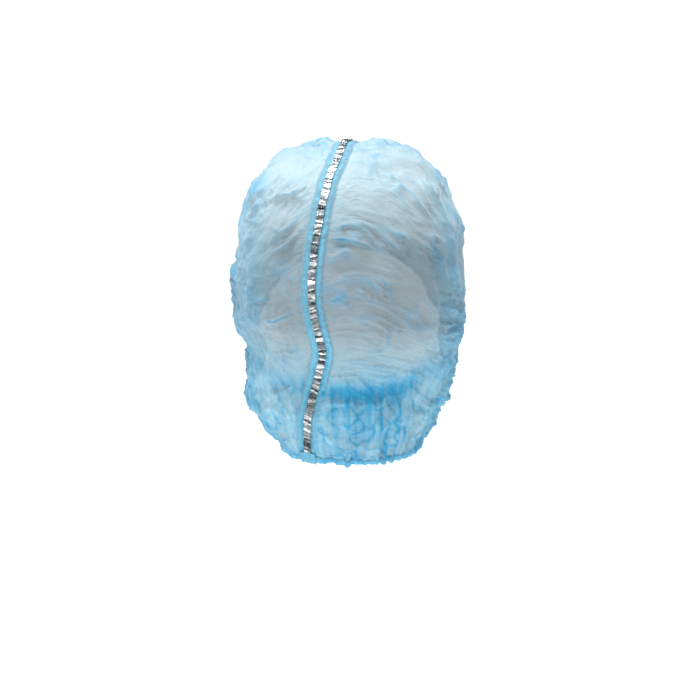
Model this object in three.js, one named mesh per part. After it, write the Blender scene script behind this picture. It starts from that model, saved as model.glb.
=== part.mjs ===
// A disposable hairnet in the form that it has on a head: a gathered nonwoven shell with an elastic edge,
// and a crinkled aluminium strip on a doubled band of cloth that runs from the brow over the crown to the nape.
// Millimetres, +Z up. The wearer faces +Y. The origin is where the top of the head meets the inside of the crown.
import * as THREE from 'three';

// Driving sizes of the worn cap
const capHeight = 228; // crown to the nape edge
const halfWidth = 83; // middle to the widest point of each side
const backReach = 105; // middle to the back of the skull
const frontReach = 96; // middle to the brow
const cornerPower = 2.25; // 2 is an ellipse seen from above, more is squarer

// Cloth
const clothWall = 1.4;
const hemWidth = 5; // elastic edge, along the cloth
const hemThickness = 2.4;
const seamGap = 0.3; // between pieces that touch

// Strip and what carries it
const stripWidth = 5.6;
const stripThickness = 0.7;
const bandWidth = 18;
const bandThickness = 0.8;
const bandLift = 0.8; // clear of the facets under it
const sealLength = 9; // welded tab at each end of the band
const sealWidth = 13;
const sealOverhang = 3; // tab past the elastic edge

// Folds
const gatherCount = 20; // folds that the elastic draws up round the edge
const gatherDepth = 3.8;
const gatherReach = 62; // how far up the cloth a gather fades out
const crossFoldDepth = 2; // long folds that run round the head
const crossFoldPitch = 34;
const crownRidgeRise = 4.5;
const crownRidgeBreadth = 7;
const crownRidgeRun = 46; // front to back
const calmMargin = 14; // cloth beside the band that lies flat

// Fineness of the facets
const columnsPerGather = 4;
const rowCount = 22;
const ribbonStep = 7;

// Level sections from the crown down. drop is a share of capHeight, left and right of halfWidth,
// back of backReach and front of frontReach.
const sections = [
  { drop: 0, left: 0, right: 0, back: 0, front: 0 },
  { drop: 0.009, left: 0.37, right: 0.35, back: 0.31, front: 0.33 },
  { drop: 0.04, left: 0.6, right: 0.57, back: 0.54, front: 0.57 },
  { drop: 0.096, left: 0.75, right: 0.74, back: 0.71, front: 0.75 },
  { drop: 0.171, left: 0.87, right: 0.87, back: 0.84, front: 0.88 },
  { drop: 0.272, left: 0.95, right: 0.96, back: 0.93, front: 0.96 },
  { drop: 0.373, left: 0.985, right: 0.99, back: 0.98, front: 1 },
  { drop: 0.469, left: 1, right: 1, back: 1, front: 0.98 },
  { drop: 0.561, left: 0.98, right: 0.975, back: 0.965, front: 0.91 },
  { drop: 0.623, left: 0.9, right: 0.94, back: 0.87, front: 0.83 },
  { drop: 0.671, left: 0.85, right: 0.93, back: 0.755, front: 0.76 },
  { drop: 0.719, left: 0.89, right: 0.915, back: 0.67, front: 0.7 },
  { drop: 0.772, left: 0.91, right: 0.85, back: 0.635, front: 0.63 },
  { drop: 0.833, left: 0.86, right: 0.775, back: 0.64, front: 0.57 },
  { drop: 0.895, left: 0.735, right: 0.69, back: 0.62, front: 0.52 },
  { drop: 0.952, left: 0.61, right: 0.605, back: 0.575, front: 0.48 },
  { drop: 1, left: 0.565, right: 0.565, back: 0.53, front: 0.46 },
];

// The edge round the neck and face. turn is degrees from the nape, the same to both sides, and drop a share of capHeight.
const edge = [
  { turn: 0, drop: 1 },
  { turn: 50, drop: 0.985 },
  { turn: 80, drop: 0.955 },
  { turn: 100, drop: 0.86 },
  { turn: 115, drop: 0.7 },
  { turn: 132, drop: 0.54 },
  { turn: 155, drop: 0.39 },
  { turn: 180, drop: 0.335 },
];

// The strip's way over the cap. turn is degrees from straight up about the middle of the head, backwards positive,
// and aside a share of halfWidth, to the wearer's right positive.
const route = [
  { turn: -82, aside: 0 },
  { turn: -40, aside: 0.02 },
  { turn: 0, aside: -0.01 },
  { turn: 29, aside: -0.08 },
  { turn: 47, aside: -0.19 },
  { turn: 69, aside: -0.28 },
  { turn: 90, aside: -0.315 },
  { turn: 100, aside: -0.275 },
  { turn: 111, aside: -0.215 },
  { turn: 127, aside: -0.26 },
  { turn: 140, aside: -0.32 },
  { turn: 149, aside: -0.37 },
  { turn: 157, aside: -0.33 },
  { turn: 170, aside: -0.25 },
];

// Two peaks where spare cloth stands up on the crown: aside is a share of halfWidth, rise of crownRidgeRise.
const crownRidges = [
  { aside: 0.0, rise: 0.8 },
  { aside: 0.24, rise: 1 },
];

const columnCount = gatherCount * columnsPerGather;
const heart = new THREE.Vector3(0, 0, -0.48 * capHeight); // middle of the head, inside the shell
const radians = Math.PI / 180;

// A smooth value of one column of a table at key, with no overshoot at the ends.
function readTable(table, keyName, valueName, key) {
  let row = 0;
  while (row < table.length - 2 && table[row + 1][keyName] < key) row += 1;
  const at = (index) => table[Math.min(Math.max(index, 0), table.length - 1)];
  const [before, from, to, after] = [at(row - 1), at(row), at(row + 1), at(row + 2)];
  const span = to[keyName] - from[keyName];
  const share = THREE.MathUtils.clamp((key - from[keyName]) / span, 0, 1);
  const slope = (low, high) => {
    const reach = high[keyName] - low[keyName];
    return reach > 0 ? ((high[valueName] - low[valueName]) / reach) * span : 0;
  };
  const [start, finish] = [slope(before, to), slope(from, after)];
  const square = share * share;
  const cube = square * share;
  return from[valueName] * (2 * cube - 3 * square + 1) + start * (cube - 2 * square + share)
    + to[valueName] * (3 * square - 2 * cube) + finish * (cube - square);
}

// The sections again, numbered, so that a crown that closes flat is read as smoothly as a steep side.
const stations = sections.map((section, station) => ({ station, ...section }));
const readStation = (name, station) => readTable(stations, 'station', name, station);

// How far the cloth is from the middle at a station, in a direction given in degrees from the nape.
function reachAt(turn, station) {
  const side = Math.sin(turn * radians);
  const fore = -Math.cos(turn * radians);
  const wide = halfWidth * readStation(side < 0 ? 'left' : 'right', station);
  const deep = fore > 0 ? frontReach * readStation('front', station) : backReach * readStation('back', station);
  if (wide < 1e-6 || deep < 1e-6) return 0;
  return ((Math.abs(side) / wide) ** cornerPower + (Math.abs(fore) / deep) ** cornerPower) ** (-1 / cornerPower);
}

function smoothPoint(turn, station) {
  const reach = reachAt(turn, station);
  return new THREE.Vector3(
    reach * Math.sin(turn * radians),
    -reach * Math.cos(turn * radians),
    clothWall - capHeight * readStation('drop', station),
  );
}

// The station at which the cloth ends in a direction.
function edgeStation(turn) {
  const drop = readTable(edge, 'turn', 'drop', Math.abs(turn));
  let [low, high] = [0, stations.length - 1];
  for (let halving = 0; halving < 30; halving += 1) {
    const middle = (low + high) / 2;
    if (readStation('drop', middle) < drop) low = middle;
    else high = middle;
  }
  return low;
}

const rise = (low, high, value) => THREE.MathUtils.smoothstep(value, low, high);

// How far folds lift the cloth off its smooth form.
function foldLift(point, turn, fromEdge) {
  const angle = turn * radians;
  const gatherFade = (1 - rise(0, gatherReach, fromEdge)) ** 1.5;
  const gatherShare = 0.7 + 0.3 * Math.cos(3 * angle + 1);
  const gather = Math.cos(gatherCount * angle + 0.9 * Math.sin(2 * angle + 0.5)) * gatherShare * gatherFade;
  const crossShare = 0.6 + 0.4 * Math.cos(5 * angle + 2);
  const cross = Math.cos((2 * Math.PI * fromEdge) / crossFoldPitch + 1.5 * Math.sin(3 * angle)) * crossShare;
  let lift = gatherDepth * gather + crossFoldDepth * cross * (1 - gatherFade);
  if (point.z > -crownRidgeRun) {
    for (const ridge of crownRidges) {
      const across = (point.x - ridge.aside * halfWidth) / crownRidgeBreadth;
      const along = point.y / crownRidgeRun;
      lift += crownRidgeRise * ridge.rise * Math.exp(-(across ** 2) - along ** 2);
    }
  }
  const backward = Math.atan2(-point.y, point.z - heart.z) / radians;
  const away = Math.abs(point.x - halfWidth * readTable(route, 'turn', 'aside', backward));
  return lift * rise(bandWidth / 2, bandWidth / 2 + calmMargin, away);
}

// One strip of cloth from the crown to the edge: places and outward directions for the shell's rows,
// then one row at the edge and one past it, which guides what hangs over the edge.
function meridian(turn) {
  const fineCount = 160;
  const last = edgeStation(turn);
  const fine = Array.from({ length: fineCount + 1 }, (_, index) => smoothPoint(turn, (last * index) / fineCount));
  const lengths = [0];
  for (let index = 1; index <= fineCount; index += 1) {
    lengths.push(lengths[index - 1] + fine[index].distanceTo(fine[index - 1]));
  }
  const full = lengths[fineCount];
  const shellEnd = full - hemWidth;
  const stationAt = (length) => {
    let index = 1;
    while (index < fineCount && lengths[index] < length) index += 1;
    const share = (length - lengths[index - 1]) / (lengths[index] - lengths[index - 1]);
    return (last * (index - 1 + share)) / fineCount;
  };
  const rows = [];
  for (let row = 1; row <= rowCount + 1; row += 1) {
    const length = row > rowCount ? full : (shellEnd * row) / rowCount;
    const station = stationAt(length);
    const point = smoothPoint(turn, station);
    const down = smoothPoint(turn, station + 0.02).sub(smoothPoint(turn, station - 0.02)).normalize();
    const round = smoothPoint(turn + 0.5, station).sub(smoothPoint(turn - 0.5, station)).normalize();
    const outward = new THREE.Vector3().crossVectors(down, round).normalize();
    point.addScaledVector(outward, foldLift(point, turn, full - length));
    rows.push({ point, outward });
  }
  const [inner, outer] = rows.slice(-2);
  const onward = outer.point.clone().sub(inner.point).multiplyScalar((2 * sealOverhang) / hemWidth);
  rows.push({ point: outer.point.clone().add(onward), outward: outer.outward });
  return rows;
}

const meridians = Array.from({ length: columnCount }, (_, column) => {
  const turn = (360 * column) / columnCount;
  return meridian(turn > 180 ? turn - 360 : turn);
});
const crown = new THREE.Vector3(0, 0, clothWall);

// A place on the cloth's facets: a row that may be a fraction, at a depth under the outer face.
function clothPoint(column, row, depth) {
  const strip = meridians[((column % columnCount) + columnCount) % columnCount];
  const low = Math.floor(row);
  const at = (index) => {
    const { point, outward } = strip[index - 1];
    return point.clone().addScaledVector(outward, -depth);
  };
  return low === row ? at(row) : at(low).lerp(at(low + 1), row - low);
}

function solid(name, vertices, faces, material) {
  const geometry = new THREE.BufferGeometry();
  const positions = vertices.flatMap((vertex) => vertex.toArray());
  geometry.setAttribute('position', new THREE.Float32BufferAttribute(positions, 3));
  geometry.setIndex(faces.flat());
  geometry.computeVertexNormals();
  const mesh = new THREE.Mesh(geometry, material);
  mesh.name = name;
  return mesh;
}

// Faces between two rings of vertices that start at these indices, facing out when the first ring is above.
function joinRings(upper, lower) {
  const faces = [];
  for (let column = 0; column < columnCount; column += 1) {
    const next = (column + 1) % columnCount;
    faces.push([upper + column, lower + column, lower + next]);
    faces.push([upper + column, lower + next, upper + next]);
  }
  return faces;
}

const flipped = (faces) => faces.map(([a, b, c]) => [a, c, b]);
const ringAt = (row, depth) => Array.from({ length: columnCount }, (_, column) => clothPoint(column, row, depth));

// The shell: one sheet from the crown to the hem, open at the neck and face.
function buildShell(material) {
  const vertices = [];
  const faces = [];
  for (const depth of [0, clothWall]) {
    const pole = vertices.length;
    vertices.push(crown.clone().setZ(crown.z - depth));
    for (let row = 1; row <= rowCount; row += 1) vertices.push(...ringAt(row, depth));
    const side = [];
    for (let column = 0; column < columnCount; column += 1) {
      side.push([pole, pole + 1 + column, pole + 1 + ((column + 1) % columnCount)]);
    }
    for (let row = 1; row < rowCount; row += 1) {
      side.push(...joinRings(pole + 1 + (row - 1) * columnCount, pole + 1 + row * columnCount));
    }
    faces.push(...(depth === 0 ? side : flipped(side)));
  }
  const lastRing = 1 + (rowCount - 1) * columnCount;
  faces.push(...joinRings(lastRing, vertices.length - columnCount));
  return solid('cap_shell', vertices, faces, material);
}

// The elastic edge: a gathered hem that follows the shell's last row all round the opening.
function buildHem(material) {
  const top = rowCount + seamGap / hemWidth;
  const bottom = rowCount + 1;
  const vertices = [
    ...ringAt(top, 0), ...ringAt(bottom, 0), ...ringAt(bottom, hemThickness), ...ringAt(top, hemThickness),
  ];
  const faces = [0, 1, 2].flatMap((ring) => joinRings(ring * columnCount, (ring + 1) * columnCount));
  faces.push(...flipped(joinRings(0, 3 * columnCount))); // split the same way as the shell's end, which it faces
  return solid('elastic_edge', vertices, faces, material);
}

// The cloth's outer facets as one surface, which ribbons are laid on.
function guideSurface() {
  const vertices = [crown.clone()];
  const faces = [];
  for (let row = 1; row <= rowCount + 2; row += 1) vertices.push(...ringAt(row, 0));
  for (let column = 0; column < columnCount; column += 1) {
    faces.push([0, 1 + column, 1 + ((column + 1) % columnCount)]);
  }
  for (let row = 1; row < rowCount + 2; row += 1) {
    faces.push(...joinRings(1 + (row - 1) * columnCount, 1 + row * columnCount));
  }
  const surface = solid('guide', vertices, faces, new THREE.MeshBasicMaterial({ side: THREE.DoubleSide }));
  surface.updateMatrixWorld();
  return surface;
}

const guide = guideSurface();
const caster = new THREE.Raycaster();

// The point of the cloth seen from a place inside the head in a direction, or null past the guide's end.
function castOut(from, direction) {
  caster.set(from, direction.clone().normalize());
  const hits = caster.intersectObject(guide);
  return hits.length ? hits[0].point : null;
}

function routePoint(turn) {
  const aside = halfWidth * readTable(route, 'turn', 'aside', turn);
  const direction = new THREE.Vector3(0, -Math.sin(turn * radians), Math.cos(turn * radians));
  return castOut(new THREE.Vector3(aside, 0, heart.z), direction);
}

// The strip's middle line from the brow to the nape: evenly spaced points and how far along each one is.
function traceRoute() {
  const fine = [];
  for (let turn = route[0].turn; turn <= route[route.length - 1].turn; turn += 0.5) {
    const point = routePoint(turn);
    if (point) fine.push(point);
  }
  const line = new THREE.CatmullRomCurve3(fine);
  line.arcLengthDivisions = 2000;
  return line;
}

const routeLine = traceRoute();
const routeLength = routeLine.getLength();
// How far along the route the seals begin, where the shell meets its elastic edge at the brow and the nape.
const sealsAt = {
  brow: 2 * sealOverhang + hemWidth,
  nape: routeLength - 2 * sealOverhang - hemWidth,
};

// Where a ribbon bends: its two ends, the places where the seals begin, and even steps that all ribbons share.
function ribbonStops(from, to) {
  const shared = [sealsAt.brow, sealsAt.nape];
  for (let stop = ribbonStep; stop < routeLength; stop += ribbonStep) shared.push(stop);
  const least = ribbonStep / 6;
  const between = shared.filter((stop) => stop > from + least && stop < to - least);
  return [from, ...between.sort((a, b) => a - b), to];
}

// A flat ribbon laid along the route from one distance to another. Its underside is lift above the cloth.
function buildRibbon(name, from, to, width, lift, thickness, acrossCount, material) {
  const stops = ribbonStops(from, to);
  const stepCount = stops.length - 1;
  const reach = ribbonStep / routeLength;
  const [under, over] = [[], []];
  for (const stop of stops) {
    const share = stop / routeLength;
    const middle = routeLine.getPointAt(share);
    const ahead = routeLine.getPointAt(Math.min(share + reach, 1));
    const behind = routeLine.getPointAt(Math.max(share - reach, 0));
    const along = ahead.sub(behind).normalize();
    const inside = new THREE.Vector3(middle.x, 0, heart.z);
    const rough = middle.clone().sub(inside);
    rough.addScaledVector(along, -rough.dot(along)).normalize();
    const aside = new THREE.Vector3().crossVectors(along, rough).normalize();
    const spots = [];
    for (let index = 0; index <= acrossCount; index += 1) {
      const wanted = middle.clone().addScaledVector(aside, width * (index / acrossCount - 0.5));
      const toward = wanted.clone().sub(heart);
      spots.push(castOut(heart, toward) ?? wanted);
    }
    const across = spots[acrossCount].clone().sub(spots[0]).normalize();
    const outward = new THREE.Vector3().crossVectors(across, along).normalize();
    if (outward.dot(rough) < 0) outward.negate();
    for (const spot of spots) {
      under.push(spot.clone().addScaledVector(outward, lift));
      over.push(spot.clone().addScaledVector(outward, lift + thickness));
    }
  }
  const vertices = [...under, ...over];
  const across = acrossCount + 1;
  const top = under.length;
  const quad = (a, b, c, d) => [[a, c, b], [a, d, c]];
  const faces = [];
  for (let step = 0; step < stepCount; step += 1) {
    const [near, far] = [step * across, (step + 1) * across];
    for (let index = 0; index < acrossCount; index += 1) {
      faces.push(...quad(near + index, near + index + 1, far + index + 1, far + index));
      faces.push(...quad(top + near + index, top + far + index, top + far + index + 1, top + near + index + 1));
    }
    faces.push(...quad(near, far, top + far, top + near));
    faces.push(...quad(near + acrossCount, top + near + acrossCount, top + far + acrossCount, far + acrossCount));
  }
  const end = stepCount * across;
  for (let index = 0; index < acrossCount; index += 1) {
    faces.push(...quad(index, top + index, top + index + 1, index + 1));
    faces.push(...quad(end + index, end + index + 1, top + end + index + 1, top + end + index));
  }
  return solid(name, vertices, faces, material);
}

const nonwoven = new THREE.MeshStandardMaterial({ color: 0xa9d0df, roughness: 0.9, metalness: 0 });
const doubledCloth = new THREE.MeshStandardMaterial({ color: 0x5fb4d6, roughness: 0.9, metalness: 0 });
const hemCloth = new THREE.MeshStandardMaterial({ color: 0x7cc3de, roughness: 0.9, metalness: 0 });
const aluminium = new THREE.MeshStandardMaterial({ color: 0xd8d8da, roughness: 0.25, metalness: 1 });

const stripLift = bandLift + bandThickness + seamGap;
const hairnet = new THREE.Group();
hairnet.add(buildShell(nonwoven));
hairnet.add(buildHem(hemCloth));
hairnet.add(buildRibbon(
  'strip_band', sealsAt.brow + seamGap, sealsAt.nape - seamGap, bandWidth, bandLift, bandThickness, 4, doubledCloth,
));
hairnet.add(buildRibbon(
  'brow_seal', sealsAt.brow - sealLength, sealsAt.brow, sealWidth, bandLift, bandThickness, 2, doubledCloth,
));
hairnet.add(buildRibbon(
  'nape_seal', sealsAt.nape, sealsAt.nape + sealLength, sealWidth, bandLift, bandThickness, 2, doubledCloth,
));
hairnet.add(buildRibbon(
  'metal_strip', sealsAt.brow - sealLength, sealsAt.nape + sealLength, stripWidth, stripLift, stripThickness, 2, aluminium,
));

export default hairnet;
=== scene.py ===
# A disposable hairnet as it is worn: sheer blue nonwoven, an elastic edge,
# and a crinkled foil strip over the crown.
import math

import bpy
import numpy as np
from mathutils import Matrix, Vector, noise
from mathutils.bvhtree import BVHTree


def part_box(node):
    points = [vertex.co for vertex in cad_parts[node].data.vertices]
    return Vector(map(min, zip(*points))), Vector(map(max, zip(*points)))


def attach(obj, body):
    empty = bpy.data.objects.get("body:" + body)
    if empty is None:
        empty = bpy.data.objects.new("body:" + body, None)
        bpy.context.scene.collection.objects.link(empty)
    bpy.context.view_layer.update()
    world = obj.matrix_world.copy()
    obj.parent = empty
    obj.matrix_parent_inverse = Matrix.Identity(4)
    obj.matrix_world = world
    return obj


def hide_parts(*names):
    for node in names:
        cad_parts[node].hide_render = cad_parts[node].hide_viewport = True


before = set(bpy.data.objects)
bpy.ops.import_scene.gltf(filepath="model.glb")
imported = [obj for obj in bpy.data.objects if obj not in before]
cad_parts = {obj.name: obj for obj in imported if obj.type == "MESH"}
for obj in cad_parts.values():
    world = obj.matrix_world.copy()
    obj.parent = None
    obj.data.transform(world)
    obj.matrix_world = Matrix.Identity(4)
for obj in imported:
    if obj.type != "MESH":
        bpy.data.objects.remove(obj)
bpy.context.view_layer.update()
millimetre = 0.001
capHeight = -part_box("elastic_edge")[0].z
heart = np.array([0.0, 0.0, -0.48 * capHeight])  # middle of the cap's hollow
print("frame loaded: cap", round(capHeight * 1000), "mm tall")


# Colours and nodes

fibreScale = 420.0  # per metre, one fibre pattern every 2.4 mm
bondScale = 620.0   # per metre, one bond point every 1.6 mm

# sRGB hex to linear red, green, blue and 1
def linear(hexColour):
    values = [int(hexColour[i:i + 2], 16) / 255 for i in (1, 3, 5)]
    return [v / 12.92 if v <= 0.04045 else ((v + 0.055) / 1.055) ** 2.4 for v in values] + [1.0]


# settings are the node's properties, or inputs by name or number; links join an input to a socket
def addNode(tree, kind, settings=None, links=None):
    node = tree.nodes.new(kind)
    for name, value in (settings or {}).items():
        if isinstance(name, str) and hasattr(node, name):
            setattr(node, name, value)
        else:
            node.inputs[name].default_value = value
    for name, socket in (links or {}).items():
        tree.links.new(socket, node.inputs[name])
    return node


def newMaterial(name):
    material = bpy.data.materials.new(name)
    material.use_nodes = True
    material.node_tree.nodes.clear()
    return material, material.node_tree


# Spunbonded cloth: loose fibres all ways and a fine grid of bond points,
# bluer and closer where it is gathered. A grey sheer tone gives painted shade, a paler crown tone painted
# light from above.
def clothMaterial(name, look):
    material, tree = newMaterial(name)
    place = addNode(tree, "ShaderNodeTexCoord").outputs["Object"]
    layers = addNode(tree, "ShaderNodeAttribute", {"attribute_name": "layers"}).outputs["Fac"]
    paintedShadeLift = addNode(tree, "ShaderNodeAttribute", {"attribute_name": "paintedShadeLift"}).outputs["Fac"]

    # long fibres, drawn out one way so that they read as threads and not as specks
    stretched = addNode(tree, "ShaderNodeMapping", {"Scale": (1.0, 1.0, 3.2), "Rotation": (0.4, 0.9, 0.2)},
                        {"Vector": place})
    fibres = addNode(tree, "ShaderNodeTexNoise", {"Scale": fibreScale, "Detail": 5.0, "Distortion": 1.6},
                     {"Vector": stretched.outputs["Vector"]})
    bonds = addNode(tree, "ShaderNodeTexVoronoi", {"Scale": bondScale, "Randomness": 0.25}, {"Vector": place})
    bondDip = addNode(tree, "ShaderNodeMapRange",
                      {"From Min": 0.0, "From Max": 0.35, "To Min": 0.0, "To Max": 1.0},
                      {"Value": bonds.outputs["Distance"]})

    # small creases between the modelled ones, arched the same way
    parts = addNode(tree, "ShaderNodeSeparateXYZ", {}, {"Vector": place})
    square = addNode(tree, "ShaderNodeMath", {"operation": "MULTIPLY"},
                     {0: parts.outputs["X"], 1: parts.outputs["X"]})
    arch = addNode(tree, "ShaderNodeMath", {"operation": "MULTIPLY_ADD", 1: 10.5},
                   {0: square.outputs["Value"], 2: parts.outputs["Z"]})
    level = addNode(tree, "ShaderNodeMath", {"operation": "MULTIPLY_ADD", 1: -0.5},
                    {0: parts.outputs["Y"], 2: arch.outputs["Value"]})
    bent = addNode(tree, "ShaderNodeCombineXYZ", {},
                   {"X": parts.outputs["X"], "Y": parts.outputs["Y"], "Z": level.outputs["Value"]})
    drawnOut = addNode(tree, "ShaderNodeMapping", {"Scale": (48.0, 48.0, 165.0)},
                       {"Vector": bent.outputs["Vector"]})
    rumple = addNode(tree, "ShaderNodeTexNoise", {"Scale": 1.0, "Detail": 1.6, "Distortion": 0.7},
                     {"Vector": drawnOut.outputs["Vector"]})
    offMiddle = addNode(tree, "ShaderNodeMath", {"operation": "SUBTRACT", 1: 0.5}, {0: rumple.outputs["Fac"]})
    line = addNode(tree, "ShaderNodeMath", {"operation": "ABSOLUTE"}, {0: offMiddle.outputs["Value"]})
    fineCrease = addNode(tree, "ShaderNodeMapRange",
                         {"From Min": 0.0, "From Max": 0.11, "To Min": 1.0, "To Max": 0.0},
                         {"Value": line.outputs["Value"]})

    # painted shade lifted: at 0 the cloth keeps the painted grey shade, at 1 it shows the clear blue
    shadeLiftedTone = addNode(tree, "ShaderNodeMix", {"data_type": "RGBA"}, {"Factor": paintedShadeLift})
    # painted light: paler over the crown, where light falls from above; below it the sheer tone's painted
    # grey shade
    topLightShare = addNode(tree, "ShaderNodeMapRange",
                   {"From Min": -0.082, "From Max": -0.030, "To Min": 0.0, "To Max": 1.0},
                   {"Value": parts.outputs["Z"]})
    paintedShadeToTopLight = addNode(tree, "ShaderNodeMix", {"data_type": "RGBA"}, {"Factor": topLightShare.outputs["Result"]})
    paintedShadeToTopLight.inputs[6].default_value = linear(look["sheer"])
    paintedShadeToTopLight.inputs[7].default_value = linear(look["crown"])
    tree.links.new(paintedShadeToTopLight.outputs[2], shadeLiftedTone.inputs[6])
    shadeLiftedTone.inputs[7].default_value = linear(look["clear"])
    mixed = addNode(tree, "ShaderNodeMix", {"data_type": "RGBA"}, {"Factor": layers, 6: shadeLiftedTone.outputs[2]})
    mixed.inputs[7].default_value = linear(look["dense"])
    fibreTone = addNode(tree, "ShaderNodeMapRange",
                        {"From Min": 0.3, "From Max": 0.7, "To Min": look["fibreDark"], "To Max": 1.06},
                        {"Value": fibres.outputs["Fac"]})
    toned = addNode(tree, "ShaderNodeMix", {"data_type": "RGBA", "blend_type": "MULTIPLY", 0: 1.0},
                    {6: mixed.outputs[2], 7: fibreTone.outputs["Result"]})

    # close where the cloth is gathered, sheer where one layer lies flat
    cover = addNode(tree, "ShaderNodeMapRange",
                    {"From Min": 0.0, "From Max": 1.0, "To Min": look["thin"], "To Max": look["close"]},
                    {"Value": layers})
    height = addNode(tree, "ShaderNodeMath", {"operation": "MULTIPLY"},
                     {0: fibres.outputs["Fac"], 1: bondDip.outputs["Result"]})
    creaseBump = addNode(tree, "ShaderNodeBump", {"Strength": look["rumple"], "Distance": 0.0008},
                         {"Height": fineCrease.outputs["Result"]})
    bump = addNode(tree, "ShaderNodeBump", {"Strength": 0.35, "Distance": 0.0003},
                   {"Height": height.outputs["Value"], "Normal": creaseBump.outputs["Normal"]})
    shader = addNode(tree, "ShaderNodeBsdfPrincipled",
                     {"Roughness": 0.85, "IOR": 1.45, "Specular IOR Level": 0.25,
                      "Sheen Weight": 0.25, "Sheen Roughness": 0.5},
                     {"Base Color": toned.outputs[2], "Alpha": cover.outputs["Result"],
                      "Normal": bump.outputs["Normal"]})
    addNode(tree, "ShaderNodeOutputMaterial", {}, {"Surface": shader.outputs["BSDF"]})
    return material


# Thin aluminium: bright facets beside dark ones are painted reflections, with a fine uneven grain.
def foilMaterial(name):
    material, tree = newMaterial(name)
    place = addNode(tree, "ShaderNodeTexCoord").outputs["Object"]
    paintedReflection = addNode(tree, "ShaderNodeAttribute", {"attribute_name": "paintedReflection"}).outputs["Fac"]
    # painted reflections: dark, middle grey and bright facets
    ramp = addNode(tree, "ShaderNodeValToRGB", {}, {"Fac": paintedReflection})
    ramp.color_ramp.elements[0].color = linear("#23282C")
    ramp.color_ramp.elements[1].color = linear("#E4E7E8")
    middle = ramp.color_ramp.elements.new(0.45)
    middle.color = linear("#7C8488")
    grain = addNode(tree, "ShaderNodeTexNoise", {"Scale": 1400.0, "Detail": 3.0}, {"Vector": place})
    rough = addNode(tree, "ShaderNodeMapRange", {"To Min": 0.16, "To Max": 0.38},
                    {"Value": grain.outputs["Fac"]})
    bump = addNode(tree, "ShaderNodeBump", {"Strength": 0.25, "Distance": 0.0002},
                   {"Height": grain.outputs["Fac"]})
    shader = addNode(tree, "ShaderNodeBsdfPrincipled", {"Metallic": 0.85, "Specular IOR Level": 0.6},
                     {"Base Color": ramp.outputs["Color"], "Roughness": rough.outputs["Result"],
                      "Normal": bump.outputs["Normal"]})
    addNode(tree, "ShaderNodeOutputMaterial", {}, {"Surface": shader.outputs["BSDF"]})
    return material


# Meshes

def makeObject(name, points, faces, material, values, smooth=True):
    mesh = bpy.data.meshes.new(name)
    mesh.from_pydata([tuple(p) for p in points], [], faces)
    mesh.update()
    for key, numbers in values.items():
        layer = mesh.attributes.new(key, "FLOAT", "POINT")
        layer.data.foreach_set("value", np.asarray(numbers, dtype=np.float32).ravel())
    mesh.materials.append(material)
    mesh.polygons.foreach_set("use_smooth", [smooth] * len(mesh.polygons))
    obj = bpy.data.objects.new(name, mesh)
    bpy.context.scene.collection.objects.link(obj)
    return obj


def noiseAt(points, seed):
    shifted = points + np.array([seed, -seed, 2 * seed])
    return np.array([noise.noise(Vector(p)) for p in shifted])


# 1 on the crest of a crease and falling off quickly to both sides
def crease(values, sharpness):
    return np.exp(-(values / sharpness) ** 2)


def softened(grid, times, axis, around):
    for _ in range(times):
        if around:
            grid = 0.5 * grid + 0.25 * (np.roll(grid, 1, axis) + np.roll(grid, -1, axis))
        else:
            inner = 0.5 * grid[1:-1] + 0.25 * (grid[2:] + grid[:-2])
            grid = np.concatenate([grid[:1], inner, grid[-1:]])
    return grid


def nodeTree(*names):
    points, faces = [], []
    for name in names:
        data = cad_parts[name].data
        start = len(points)
        points += [tuple(v.co) for v in data.vertices]
        faces += [[start + i for i in p.vertices] for p in data.polygons]
    return BVHTree.FromPolygons(points, faces)


# The cloth

cloth = {
    "columns": 408,
    "rows": 218,
    "creaseReach": 34.0,     # mm, how long a crease runs
    "creasePitch": 7.4,      # mm, from one crease to the next
    "creaseDepth": 2.0,      # mm
    "creaseDrift": 8.0,      # mm, how far a crease wanders
    "driftSize": 40.0,
    "archFall": 0.0105,      # how fast the creases fall to the sides, per mm
    "puffSize": 27.0,        # mm, as all sizes and depths below
    "puffDepth": 2.3,
    "crumpleSize": 13.0,
    "crumpleDepth": 2.6,
    "gatherCircle": 17.0,    # noise units, sets how many gathers go round
    "gatherDepth": 4.2,
    "gatherReach": 46.0,
    "foldSize": 16.0,
    "foldDepth": 2.8,
    "slackReach": 62.0,      # how far up from the hem the bag hangs slack
    "slackFade": 9.0,
    "lobeSize": 15.0,
    "lobeDepth": 3.4,
    "smallLobeSize": 6.5,
    "smallLobeDepth": 1.3,
    "crownRuffleSize": 12.0,
    "crownRuffleDepth": 2.6,
    "cinchDrop": 176.0,      # under the crown, where the cloth is drawn in low at the back
    "cinchBreadth": 7.5,
    "cinchDepth": 3.2,
    "bunchAside": 8.0,       # middle of the cloth that is drawn together low at the back
    "bunchDrop": 192.0,
    "bunchWidth": 36.0,
    "bunchHeight": 20.0,
    "bandClear": 7.0,        # each side of the strip, where the cloth lies calm
    "calmFade": 9.0,
    "flat": (0.29, 0.48),    # m, cut size, guessed
}


# where the strip runs: sideways place for each turn about the heart, 0 up and positive to the back
def readRoute():
    co = np.array([v.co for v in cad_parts["metal_strip"].data.vertices])
    turn = np.arctan2(-co[:, 1], co[:, 2] - heart[2])
    order = np.argsort(turn)
    turn, side = turn[order], co[order, 0]
    stops = np.linspace(turn[0], turn[-1], 90)
    reach = 0.05
    middle = [side[np.abs(turn - s) < reach].mean() for s in stops]
    return stops, softened(np.array(middle), 3, 0, False)


routeTurns, routeSides = readRoute()


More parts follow.
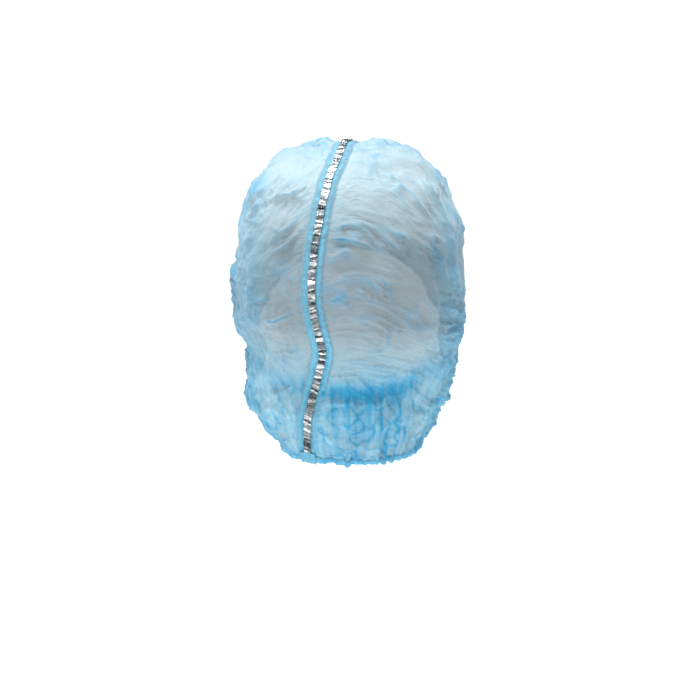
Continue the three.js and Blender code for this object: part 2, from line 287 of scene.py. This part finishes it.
def rimPitch(columnAngles):
    co = np.array([v.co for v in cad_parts["elastic_edge"].data.vertices]) - heart
    angle = np.arctan2(co[:, 1], co[:, 0])
    pitch = np.arctan2(co[:, 2], np.hypot(co[:, 0], co[:, 1]))
    found = []
    for a in columnAngles:
        away = np.abs((angle - a + math.pi) % (2 * math.pi) - math.pi)
        found.append(pitch[away < 0.07].min())
    return softened(np.array(found), 10, 0, True)


def buildCloth(cloth, material):
    columns, rows = cloth["columns"], cloth["rows"]
    angles = np.linspace(-math.pi, math.pi, columns, endpoint=False)
    low = rimPitch(angles) + 0.008
    tree = nodeTree("cap_shell", "elastic_edge")
    share = np.linspace(0.0, 1.0, rows)
    grid = np.zeros((rows, columns, 3))
    start = Vector(heart)
    for j, a in enumerate(angles):
        for i, t in enumerate(share):
            pitch = math.pi / 2 + (low[j] - math.pi / 2) * max(t, 0.004)
            ray = Vector((math.cos(pitch) * math.cos(a), math.cos(pitch) * math.sin(a), math.sin(pitch)))
            far = tree.ray_cast(start + ray * 0.4, -ray, 0.39)[0]
            grid[i, j] = far if far is not None else grid[i - 1, j]
    # even steps down each column, then the solid's facets are smoothed away
    for j in range(columns):
        run = np.concatenate([[0], np.cumsum(np.linalg.norm(np.diff(grid[:, j], axis=0), axis=1))])
        for k in range(3):
            grid[:, j, k] = np.interp(np.linspace(0, run[-1], rows), run, grid[:, j, k])
    grid = softened(grid, 14, 0, False)
    grid = softened(grid, 8, 1, True)

    down = np.gradient(grid, axis=0)
    across = np.roll(grid, -1, 1) - np.roll(grid, 1, 1)
    normals = np.cross(across, down)
    normals /= np.maximum(np.linalg.norm(normals, axis=2, keepdims=True), 1e-9)
    outward = np.sum(normals * (grid - heart), axis=2, keepdims=True)
    normals *= np.where(outward < 0, -1.0, 1.0)
    normals[0] = (0, 0, 1)

    mm = grid.reshape(-1, 3) / millimetre
    x, y, z = mm[:, 0], mm[:, 1], mm[:, 2]
    steps = np.linalg.norm(np.diff(grid, axis=0), axis=2)
    toRim = np.concatenate([np.cumsum(steps[::-1], axis=0)[::-1], np.zeros((1, columns))])
    toRim = toRim.reshape(-1) / millimetre
    way = np.tile(angles, rows)

    # long arched creases, low in the middle and falling to both sides
    arch = z + cloth["archFall"] * x * x - 0.55 * y
    drift = noiseAt(mm / cloth["driftSize"], 5.3) * cloth["creaseDrift"]
    reach = cloth["creaseReach"]
    arched = np.stack([x / reach, y / reach, (arch + drift) / cloth["creasePitch"]], 1)
    wide = noiseAt(arched, 11.1)
    close = noiseAt(arched * (1.4, 1.4, 1.7), 3.7)
    first, second = crease(wide, 0.13), crease(close, 0.16)
    strength = np.clip(0.55 + 1.3 * noiseAt(mm / 30.0, 8.8), 0.1, 1.3)
    # a second set leans across the first, where the cloth is pulled two ways
    lean = np.stack([(x + z * 0.6) / 9.0, y / 30.0, (z - x * 0.6) / 38.0], 1)
    third = crease(noiseAt(lean, 21.9), 0.12) * np.clip(1.6 * noiseAt(mm / 26.0, 15.2) + 0.25, 0, 1)
    puff = noiseAt(mm / cloth["puffSize"], 2.2) + 0.5 * noiseAt(mm / (0.5 * cloth["puffSize"]), 6.4)

    # crumples where the bag hangs slack, and gathers drawn in by the elastic
    slack = 1 / (1 + np.exp(-(cloth["slackReach"] - toRim) / cloth["slackFade"]))
    crumple = noiseAt(mm / cloth["crumpleSize"], 31.0)
    circle = cloth["gatherCircle"]
    fan = np.stack([np.cos(way) * circle, np.sin(way) * circle, toRim / 55.0], 1)
    gather = noiseAt(fan, 41.0) + 0.6 * noiseAt(fan * (1.9, 1.9, 1.3), 43.0)
    pull = np.exp(-toRim / cloth["gatherReach"])
    back = y < 0
    fromCinch = z + cloth["cinchDrop"] - 0.0042 * x * x + 4 * noiseAt(mm / 35.0, 50.0)
    drawn = np.exp(-(fromCinch / cloth["cinchBreadth"]) ** 2) * back
    drawn = drawn * np.clip(1.35 - np.abs(x - 5) / 62.0, 0, 1)

    turn = np.arctan2(-y, z - heart[2] / millimetre)
    aside = np.abs(x - np.interp(turn, routeTurns, routeSides) / millimetre)
    calm = np.clip((aside - cloth["bandClear"]) / cloth["calmFade"], 0.12, 1.0)

    relief = cloth["creaseDepth"] * strength * (first + 0.6 * second) * (1 - 0.6 * slack)
    relief += cloth["creaseDepth"] * 0.9 * third
    relief += cloth["puffDepth"] * puff
    relief += cloth["crumpleDepth"] * crumple * slack * (1 - 0.5 * pull)
    relief += cloth["gatherDepth"] * gather * pull
    fold = crease(noiseAt(mm / cloth["foldSize"], 71.0), 0.12) - 0.3
    relief += cloth["foldDepth"] * fold * slack * (1 - 0.6 * pull)
    # lobes stand out at both sides of the bag and down the cap's flanks
    flank = np.clip((np.abs(x) - 40) / 25, 0, 1) * (z < -30)
    lobes = cloth["lobeDepth"] * noiseAt(mm / cloth["lobeSize"], 81.0)
    lobes += cloth["smallLobeDepth"] * noiseAt(mm / cloth["smallLobeSize"], 83.0)
    relief += flank * lobes * (0.55 + 0.75 * slack)
    ruffle = noiseAt(mm / cloth["crownRuffleSize"], 91.0)
    relief += cloth["crownRuffleDepth"] * np.clip((z + 14) / 14, 0, 1) * ruffle
    relief -= cloth["cinchDepth"] * drawn
    relief *= calm
    moved = grid + normals * (relief.reshape(rows, columns, 1) * millimetre)
    moved[0] = moved[1].mean(axis=0)

    # how much cloth lies together here, from a single flat layer to a full gather
    narrow = crease(wide, 0.055) + 0.7 * crease(close, 0.06)
    layers = 0.05 + 0.36 * strength * narrow * (1 - 0.5 * slack) + 0.25 * third
    layers += 0.95 * drawn * (0.75 + 0.5 * gather)
    # most of the slack is drawn together low at the back
    bunchAcross = (x - cloth["bunchAside"]) / cloth["bunchWidth"]
    bunchDown = (z + cloth["bunchDrop"]) / cloth["bunchHeight"]
    bunch = np.exp(-bunchAcross ** 2 - bunchDown ** 2) * back
    layers += bunch * (0.35 + 0.7 * np.clip(gather + 0.2, 0, 1))
    layers += 0.55 * slack * crease(noiseAt(mm / 11.0, 61.0), 0.06)
    layers += pull ** 2.4 * (0.08 + 0.6 * np.clip(gather + 0.2, 0, 1))
    layers += 0.22 * slack * np.clip(-crumple * 2.2, 0, 1)
    layers += 0.42 * np.clip((np.abs(x) - 56) / 22, 0, 1) * (z < -20) * (0.7 + 0.8 * puff)
    layers += 0.3 * np.clip((z + 16) / 14, 0, 1) * np.clip(0.6 + 1.4 * noiseAt(mm / 9.0, 77.0), 0, 1)
    layers = np.clip(layers * (0.8 + 0.2 * calm), 0.0, 1.0)
    # painted shade and light: the painted grey shade over the middle is lifted to clear blue low down, where
    # light comes through, at the sides, over the bunch and a little near the top, and comes back on the
    # crumples' bulges
    paintedShadeLift = np.clip((-z - 130) / 50, 0, 1) * 0.7 + 0.3 * np.clip((np.abs(x) - 48) / 30, 0, 1)
    paintedShadeLift += 0.10 * np.clip((z + 62) / 45, 0, 1) + 0.25 * bunch
    paintedShadeLift = np.clip(paintedShadeLift - 0.35 * slack * np.clip(crumple + 0.1, 0, 1), 0, 1)
    # the front of the cap gets no more of the painted grey shade than this
    paintedShadeLift = np.where(y > 10, np.maximum(paintedShadeLift, 0.4), paintedShadeLift)

    faces = []
    for i in range(rows - 1):
        for j in range(columns):
            k = (j + 1) % columns
            faces.append([i * columns + j, (i + 1) * columns + j, (i + 1) * columns + k, i * columns + k])
    cap = makeObject("cap_cloth", moved.reshape(-1, 3), faces, material, {"layers": layers, "paintedShadeLift": paintedShadeLift})
    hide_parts("cap_shell")
    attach(cap, "root")
    return cap, moved, normals


# single blue cloth with painted grey shade over its middle, painted light paler on the crown, and strong blue
# in its folds
clothBlue = clothMaterial("sheer_nonwoven", {"sheer": "#75858B", "crown": "#A9BABF", "clear": "#80BACF",
                                             "dense": "#1C8DB8", "fibreDark": 0.84, "thin": 0.9,
                                             "close": 0.99, "rumple": 0.4})
cap, clothGrid, clothNormals = buildCloth(cloth, clothBlue)
capPoints = [tuple(v.co) for v in cap.data.vertices]
capFaces = [list(p.vertices) for p in cap.data.polygons]
clothSkin = BVHTree.FromPolygons(capPoints, capFaces)
clothArea = sum(p.area for p in cap.data.polygons)
print("cloth made:", len(capPoints), "points, area", round(clothArea, 4), "square metres")


# Ribbons along the strip's route

# evenly spaced points on the cloth between two turns, and how far along each one lies
def routeLine(fromTurn, toTurn, step):
    turns = np.linspace(fromTurn, toTurn, 500)
    sides = np.interp(turns, routeTurns, routeSides)
    line = []
    for t, s in zip(turns, sides):
        ray = Vector((0, -math.sin(t), math.cos(t)))
        origin = Vector((s, 0, heart[2]))
        hit = clothSkin.ray_cast(origin + ray * 0.3, -ray, 0.28)[0]
        if hit is not None:
            line.append(hit)
    line = softened(np.array(line), 110, 0, False)
    run = np.concatenate([[0], np.cumsum(np.linalg.norm(np.diff(line, axis=0), axis=1))])
    count = int(run[-1] / step) + 1
    stops = np.linspace(0, run[-1], count)
    return np.stack([np.interp(stops, run, line[:, k]) for k in range(3)], 1), stops


# relief gives the height and shade the attribute for a place along and a lane across, -1 to 1
def layRibbon(name, turns, shape, material, relief, shade, smooth=True):
    line, stops = routeLine(turns[0], turns[1], shape["step"])
    along = np.gradient(line, axis=0)
    lanes = np.linspace(-1, 1, shape["lanes"])
    top, bottom, values = [], [], []
    for i, centre in enumerate(line):
        outward = Vector(centre - np.array([centre[0], 0, heart[2]])).normalized()
        way = Vector(along[i]).normalized()
        side = way.cross(outward).normalized()
        sway = shape["wander"] * noise.noise(Vector((stops[i] * 55, 3.1, 0)))
        for lane in lanes:
            spot = Vector(centre) + side * (lane * 0.5 * shape["width"] + sway)
            near, normal, _, _ = clothSkin.find_nearest(spot)
            if normal.dot(outward) < 0:
                normal = -normal
            steady = (normal * 0.35 + outward * 0.65).normalized()
            # the ribbon bridges small dips in the cloth
            level = max((near - spot).dot(outward), -0.0008)
            base = spot + outward * level
            lift = shape["lift"] + relief(stops[i], lane)
            top.append(base + steady * lift)
            bottom.append(base + steady * (lift - shape["thickness"]))
            values.append(shade(stops[i], lane))
    n, m = len(line), shape["lanes"]
    faces = []
    for i in range(n - 1):
        for j in range(m - 1):
            a, b = i * m + j, i * m + j + 1
            c, d = (i + 1) * m + j + 1, (i + 1) * m + j
            faces.append([a, b, c, d])
            faces.append([n * m + d, n * m + c, n * m + b, n * m + a])
    for i in range(n - 1):
        for j, swap in ((0, False), (m - 1, True)):
            a, b = i * m + j, (i + 1) * m + j
            quad = [a, b, n * m + b, n * m + a]
            faces.append(quad[::-1] if swap else quad)
    for i, swap in ((0, True), (n - 1, False)):
        for j in range(m - 1):
            a, b = i * m + j, i * m + j + 1
            quad = [a, b, n * m + b, n * m + a]
            faces.append(quad[::-1] if swap else quad)
    key = shape.get("key", "layers")
    held = {key: values + values}
    # cloth ribbons take one fixed lift of the painted grey shade
    if key == "layers":
        held["paintedShadeLift"] = [shape["paintedShadeLift"]] * (2 * n * m)
    return makeObject(name, top + bottom, faces, material, held, smooth)


# two layers of cloth welded each side of the strip, so it is deeper in colour and lies flatter
band = {"width": 0.0172, "thickness": 0.0003, "lift": 0.0010, "step": 0.0009, "lanes": 15,
        "paintedShadeLift": 0.5, "wander": 0.0012}
# its grey sheer tone is painted shade and its crown tone painted light from above; the band keeps half of the
# painted shade, the welds a little
bandBlue = clothMaterial("doubled_nonwoven", {"sheer": "#8BA9B5", "crown": "#9DBCC7", "clear": "#79AFC6",
                                              "dense": "#3C97B8", "fibreDark": 0.84, "thin": 0.0,
                                              "close": 1.9, "rumple": 0.2})


# puckers across the band, deepest beside the strip and flat at the weld lines
def bandRelief(along, lane):
    ripple = noise.noise(Vector((along * 330, lane * 1.2, 7.0))) * 0.00075
    ripple += noise.noise(Vector((along * 120, lane * 0.7, 2.0))) * 0.0007
    weld = 1 - math.exp(-((abs(lane) - 0.93) / 0.07) ** 2)
    return ripple * weld * (0.5 + 0.5 * (1 - abs(lane))) - 0.0009 * max(abs(lane) - 0.55, 0) / 0.45


def bandLayers(along, lane):
    ripple = noise.noise(Vector((along * 330, lane * 1.2, 7.0)))
    weld = math.exp(-((abs(lane) - 0.93) / 0.07) ** 2)
    low = min(max((along - 0.25) / 0.12, 0), 1)
    inner = min(max((1 - abs(lane)) / 0.45, 0), 1)
    return min(max(inner * (0.44 - ripple * 0.3 + 0.05 * weld + 0.3 * low), 0), 1)


bandTurns = (routeTurns[0] + 0.02, routeTurns[-1] - 0.01)
bandCloth = layRibbon("strip_sleeve", bandTurns, band, bandBlue, bandRelief, bandLayers)
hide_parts("strip_band")
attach(bandCloth, "root")

# soft aluminium, crushed along its length as the gathered cloth draws it short
strip = {"width": 0.0050, "thickness": 0.0002, "lift": 0.0020, "step": 0.0005, "lanes": 8,
         "key": "paintedReflection", "wander": 0.0012}
foil = foilMaterial("strip_foil")
rng = np.random.default_rng(14)
ridgeCount = 600  # more than the strip is long
ridgeStops = np.cumsum(rng.uniform(0.0005, 0.0019, ridgeCount))
ridgeHeights = rng.uniform(0.0001, 0.0007, ridgeCount) * np.where(np.arange(ridgeCount) % 2, 1, -0.2)
# a bright or dark painted reflection for each ridge
ridgeReflections = np.clip(rng.beta(0.9, 1.15, ridgeCount), 0, 1)
ridgeLeans = rng.uniform(-0.0009, 0.0009, ridgeCount)


def foilRelief(along, lane):
    place = along + ridgeLeans[np.searchsorted(ridgeStops, along)] * lane
    dent = 0.00015 * noise.noise(Vector((along * 900, lane * 2, 5)))
    return float(np.interp(place, ridgeStops, ridgeHeights)) + dent


def paintedFoilReflection(along, lane):
    index = int(np.searchsorted(ridgeStops, along))
    place = along + ridgeLeans[index] * lane
    tone = ridgeReflections[int(np.searchsorted(ridgeStops, place))]
    return min(max(tone + 0.25 * noise.noise(Vector((along * 700, lane * 1.4, 9))), 0), 1)


stripTurns = (routeTurns[0] + 0.01, routeTurns[-1] - 0.005)
foilStrip = layRibbon("foil_strip", stripTurns, strip, foil, foilRelief, paintedFoilReflection, smooth=False)
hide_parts("metal_strip")
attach(foilStrip, "root")
print("band and strip laid")

# the welds that hold the strip's ends, pressed with rows of small dots
seal = {"width": 0.0105, "thickness": 0.0006, "lift": 0.0026, "step": 0.0004, "lanes": 33,
        "paintedShadeLift": 0.8, "wander": 0.0}
dotPitch = 0.0017


def sealDot(along, lane):
    u, v = along / dotPitch, lane * 0.0064 / dotPitch
    return max(math.cos(u * 2 * math.pi) * math.cos(v * 2 * math.pi), 0)


def sealRelief(along, lane):
    return -0.00035 * sealDot(along, lane) + 0.0003 * noise.noise(Vector((along * 160, lane * 2, 1)))


def sealLayers(along, lane):
    return 0.5 + 0.25 * sealDot(along, lane)


for nodeName, pieceName in (("brow_seal", "brow_weld"), ("nape_seal", "nape_weld")):
    co = np.array([v.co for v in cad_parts[nodeName].data.vertices])
    turn = np.arctan2(-co[:, 1], co[:, 2] - heart[2])
    inset = 0.3 * (turn.max() - turn.min())  # the weld stops short of the hem's edge
    span = (turn.min() + inset, turn.max()) if nodeName == "brow_seal" else (turn.min(), turn.max() - inset)
    weld = layRibbon(pieceName, span, seal, bandBlue, sealRelief, sealLayers)
    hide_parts(nodeName)
    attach(weld, "root")
print("seals laid")


# The gathered hem

hem = {"width": 5.0, "thickness": 2.4, "steps": 1500, "around": 14, "pucker": 3.1}  # sizes in mm
# cloth drawn up on elastic, bluest between its puckers
hemBlue = clothMaterial("gathered_hem", {"sheer": "#86B9D0", "crown": "#86B9D0", "clear": "#7DBBD2",
                                         "dense": "#2C93C2", "fibreDark": 0.82, "thin": 0.86,
                                         "close": 1.0, "rumple": 0.2})


def buildHem(hem):
    rim = clothGrid[-1]
    up = clothGrid[-4] - rim
    out = clothNormals[-2]
    closed = np.concatenate([rim, rim[:1]])
    run = np.concatenate([[0], np.cumsum(np.linalg.norm(np.diff(closed, axis=0), axis=1))])
    stops = np.linspace(0, run[-1], hem["steps"], endpoint=False)

    def spread(values):
        looped = np.concatenate([values, values[:1]])
        return np.stack([np.interp(stops, run, looped[:, k]) for k in range(3)], 1)

    line = spread(softened(rim, 2, 0, True))
    upward = spread(up)
    outward = spread(softened(out, 6, 0, True))
    points, layers = [], []
    for i in range(hem["steps"]):
        climb = Vector(upward[i]).normalized()
        away = Vector(outward[i])
        away = (away - climb * away.dot(climb)).normalized()
        s = stops[i] / millimetre
        # each little gather swells, and the elastic pulls the cloth thin between two of them
        fold = noise.noise(Vector((s / hem["pucker"], 0.0, 4.0)))
        slow = noise.noise(Vector((s / 14.0, 2.0, 9.0)))
        for k in range(hem["around"]):
            a = 2 * math.pi * k / hem["around"]
            wobble = 1 + 0.75 * fold + 0.2 * noise.noise(Vector((s / 2.0, math.cos(a), math.sin(a))))
            h = math.cos(a) * 0.5 * hem["width"] * (1 + 0.22 * fold + 0.3 * slow) + 1.4
            t = math.sin(a) * 0.5 * hem["thickness"] * max(wobble, 0.3) + 0.7 * slow
            points.append(Vector(line[i]) + climb * h * millimetre + away * t * millimetre)
            layers.append(min(max(0.6 - 0.8 * fold, 0.15), 1.0))
    faces = []
    for i in range(hem["steps"]):
        n = (i + 1) % hem["steps"]
        for k in range(hem["around"]):
            m = (k + 1) % hem["around"]
            here, there = i * hem["around"], n * hem["around"]
            faces.append([here + k, here + m, there + m, there + k])
    piece = makeObject("hem", points, faces, hemBlue, {"layers": layers, "paintedShadeLift": [0.9] * len(points)})
    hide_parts("elastic_edge")
    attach(piece, "root")
    return piece


hemPiece = buildHem(hem)
print("hem gathered")


# Camera, light and floor

floorDrop, floorReach = -0.305, 60
corners = [(-floorReach, -floorReach), (floorReach, -floorReach),
           (floorReach, floorReach), (-floorReach, floorReach)]
floorMesh = bpy.data.meshes.new("floor")
floorMesh.from_pydata([(*corner, floorDrop) for corner in corners], [], [[0, 1, 2, 3]])
floor = bpy.data.objects.new("floor", floorMesh)
bpy.context.scene.collection.objects.link(floor)
floorPaint, floorTree = newMaterial("pale_floor")
floorTone = addNode(floorTree, "ShaderNodeBsdfPrincipled",
                    {"Base Color": linear("#F4F4F4"), "Roughness": 0.9,
                     "Emission Color": (1, 1, 1, 1), "Emission Strength": 0.62})
addNode(floorTree, "ShaderNodeOutputMaterial", {}, {"Surface": floorTone.outputs["BSDF"]})
floorMesh.materials.append(floorPaint)

world = bpy.data.worlds.new("studio")
bpy.context.scene.world = world
world.use_nodes = True
background = world.node_tree.nodes["Background"]
background.inputs["Color"].default_value = (1, 1, 1, 1)
seen = addNode(world.node_tree, "ShaderNodeLightPath").outputs["Is Camera Ray"]
glow = addNode(world.node_tree, "ShaderNodeMapRange", {"To Min": 0.5, "To Max": 1.1}, {"Value": seen})
world.node_tree.links.new(glow.outputs["Result"], background.inputs["Strength"])


def addLamp(name, place, aim, size, power):
    lamp = bpy.data.lights.new(name, "AREA")
    lamp.size, lamp.energy = size, power
    obj = bpy.data.objects.new(name, lamp)
    obj.location = place
    obj.rotation_euler = (Vector(aim) - Vector(place)).to_track_quat("-Z", "Y").to_euler()
    bpy.context.scene.collection.objects.link(obj)


addLamp("top_light", (-0.1, -0.25, 1.1), (0, 0, -0.1), 0.5, 22)
addLamp("side_light", (-1.1, -0.7, 0.75), (0, 0, -0.12), 0.4, 5)

tilt = math.radians(3.5)
target = Vector((0, 0, -0.149))
camera = bpy.data.objects.new("camera", bpy.data.cameras.new("camera"))
camera.data.lens = 127.7
camera.data.sensor_width = 36
camera.location = target + Vector((0, -math.cos(tilt), math.sin(tilt))) * 1.8
camera.rotation_euler = (target - camera.location).to_track_quat("-Z", "Y").to_euler()
bpy.context.scene.collection.objects.link(camera)
bpy.context.scene.camera = camera
bpy.context.scene.view_settings.view_transform = "Standard"
